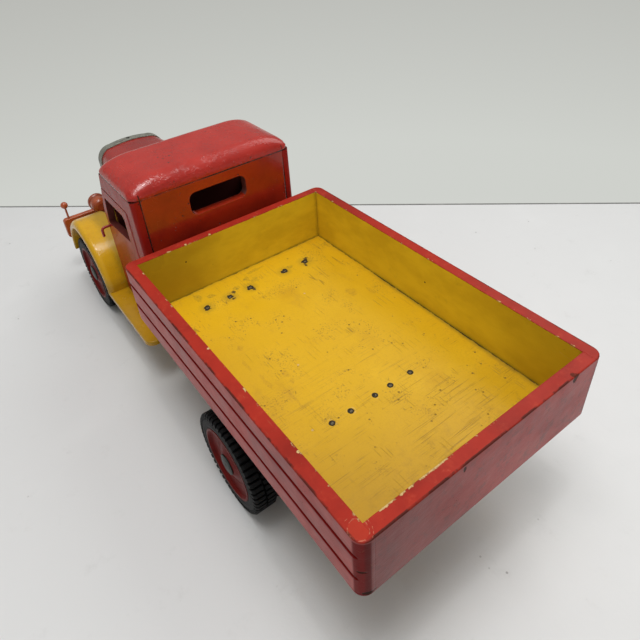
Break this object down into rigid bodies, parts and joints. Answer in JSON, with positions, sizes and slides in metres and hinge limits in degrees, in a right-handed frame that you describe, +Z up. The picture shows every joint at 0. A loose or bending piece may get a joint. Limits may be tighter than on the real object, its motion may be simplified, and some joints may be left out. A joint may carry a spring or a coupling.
{
  "type": "push along truck",
  "caption": "Painted wooden push along truck with an open load bed, hollow cab with hinged doors, arched fenders and free-running rubber-tyred wheels.",
  "frame": {"origin": "on the ground, under the middle of the truck's length and width", "axes": "+X towards the front bumper, +Y to the truck's left, +Z up"},
  "size_m": [0.676, 0.2488, 0.25],
  "materials": {
    "red_bed_paint": "worn gloss red paint on solid wood boards",
    "yellow_bed_paint": "worn yellow paint on thin board",
    "chassis_wood": "red-painted softwood, dull",
    "yellow_fender_paint": "glossy yellow paint on bent wood, worn cream at the rims",
    "red_cab_paint": "glossy red enamel on wood, aged",
    "red_wire": "red-painted bent steel wire",
    "steel": "plain drawn steel rod",
    "dark_screws": "blackened slotted wood screws",
    "grey_shell": "worn grey paint",
    "dark_grille": "dark grey painted wood with cut bars",
    "orange_trim": "orange-red paint on turned and planed wood",
    "black_rubber": "matte black moulded rubber with block tread",
    "red_wheel_paint": "satin red paint on turned wood",
    "black_caps": "black enamelled pressed caps"
  },
  "bodies": {
    "truck_body": {"bed_bearer_front": "chassis_wood", "bed_bearer_rear": "chassis_wood", "bed_floor": "yellow_bed_paint", "bed_floor_screws": "dark_screws", "bed_headboard": "red_bed_paint", "bed_side_left": "red_bed_paint", "bed_side_right": "red_bed_paint", "bed_tailboard": "red_bed_paint", "bumper": "orange_trim", "bumper_screws": "dark_screws", "cab_back": "red_cab_paint", "cab_firewall": "red_cab_paint", "cab_floor": "chassis_wood", "cab_roof": "red_cab_paint", "cab_side_left": "red_cab_paint", "cab_side_right": "red_cab_paint", "chassis_rail_left": "chassis_wood", "chassis_rail_right": "chassis_wood", "door_hinge_pin_left": "steel", "door_hinge_pin_right": "steel", "fender_left": "yellow_fender_paint", "fender_right": "yellow_fender_paint", "front_axle": "steel", "front_axle_block": "chassis_wood", "front_axle_caps": "black_caps", "front_deck": "chassis_wood", "headlamp_body_left": "orange_trim", "headlamp_body_right": "orange_trim", "headlamp_posts": "orange_trim", "headlamp_rim_left": "orange_trim", "headlamp_rim_right": "orange_trim", "hood": "red_cab_paint", "marker_ball_left": "orange_trim", "marker_ball_right": "orange_trim", "marker_stalk_left": "orange_trim", "marker_stalk_right": "orange_trim", "radiator_core": "dark_grille", "radiator_screw": "dark_screws", "radiator_shell": "grey_shell", "rear_axle": "steel", "rear_axle_block": "chassis_wood", "rear_axle_caps": "black_caps", "running_board": "yellow_fender_paint", "windscreen_frame": "red_cab_paint"},
    "front_wheel_left_body": {"front_wheel_left": "red_wheel_paint", "front_tyre_left": "black_rubber"},
    "front_wheel_right_body": {"front_wheel_right": "red_wheel_paint", "front_tyre_right": "black_rubber"},
    "rear_wheel_left_body": {"rear_wheel_left": "red_wheel_paint", "rear_outer_tyre_left": "black_rubber", "rear_inner_tyre_left": "black_rubber"},
    "rear_wheel_right_body": {"rear_wheel_right": "red_wheel_paint", "rear_outer_tyre_right": "black_rubber", "rear_inner_tyre_right": "black_rubber"},
    "door_left_body": {"door_left": "red_cab_paint", "door_handle_left": "red_wire"},
    "door_right_body": {"door_right": "red_cab_paint", "door_handle_right": "red_wire"}
  },
  "joints": [
    {"name": "front_wheel_left_spin", "type": "hinge", "parent": "truck_body", "child": "front_wheel_left_body", "pos_m": [0.232, 0.104, 0.051], "axis": [0, 1, 0], "continuous": true},
    {"name": "rear_wheel_left_spin", "type": "hinge", "parent": "truck_body", "child": "rear_wheel_left_body", "pos_m": [-0.1495, 0.0975, 0.051], "axis": [0, 1, 0], "continuous": true},
    {"name": "door_left_open", "type": "hinge", "parent": "truck_body", "child": "door_left_body", "pos_m": [0.064, 0.089, 0.14], "axis": [0, 0, 1], "range_deg": [0, 80]},
    {"name": "front_wheel_right_spin", "type": "hinge", "parent": "truck_body", "child": "front_wheel_right_body", "pos_m": [0.232, -0.104, 0.051], "axis": [0, 1, 0], "continuous": true},
    {"name": "rear_wheel_right_spin", "type": "hinge", "parent": "truck_body", "child": "rear_wheel_right_body", "pos_m": [-0.1495, -0.0975, 0.051], "axis": [0, 1, 0], "continuous": true},
    {"name": "door_right_open", "type": "hinge", "parent": "truck_body", "child": "door_right_body", "pos_m": [0.064, -0.089, 0.14], "axis": [0, 0, -1], "range_deg": [0, 80]}
  ]
}
